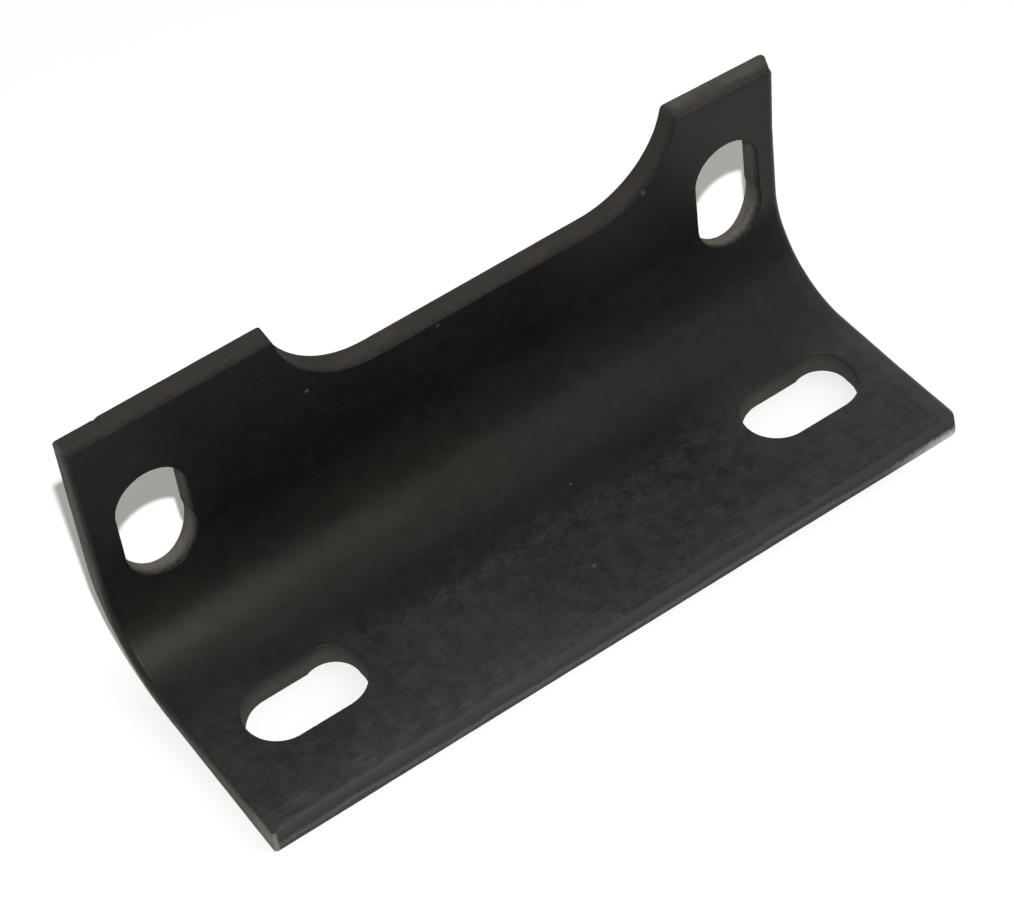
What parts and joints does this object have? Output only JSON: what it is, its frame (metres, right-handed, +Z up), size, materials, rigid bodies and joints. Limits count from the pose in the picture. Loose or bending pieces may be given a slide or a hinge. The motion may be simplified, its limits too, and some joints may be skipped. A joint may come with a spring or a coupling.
{
  "type": "plate angle bracket",
  "caption": "Bent steel plate bracket with a slotted base, a wide bend and a slotted upright whose top edge has a broad round-cornered notch.",
  "frame": {"origin": "on the base's underside, midway between the centres of the two base slots", "axes": "+X along the bend, towards the narrow lobe; +Y from the front edge towards the upright; +Z up"},
  "size_m": [0.2054, 0.0773, 0.0759],
  "materials": {
    "steel": "semi-matte black, with bare worn edges"
  },
  "bodies": {
    "root": {"bracket": "steel"}
  },
  "joints": []
}
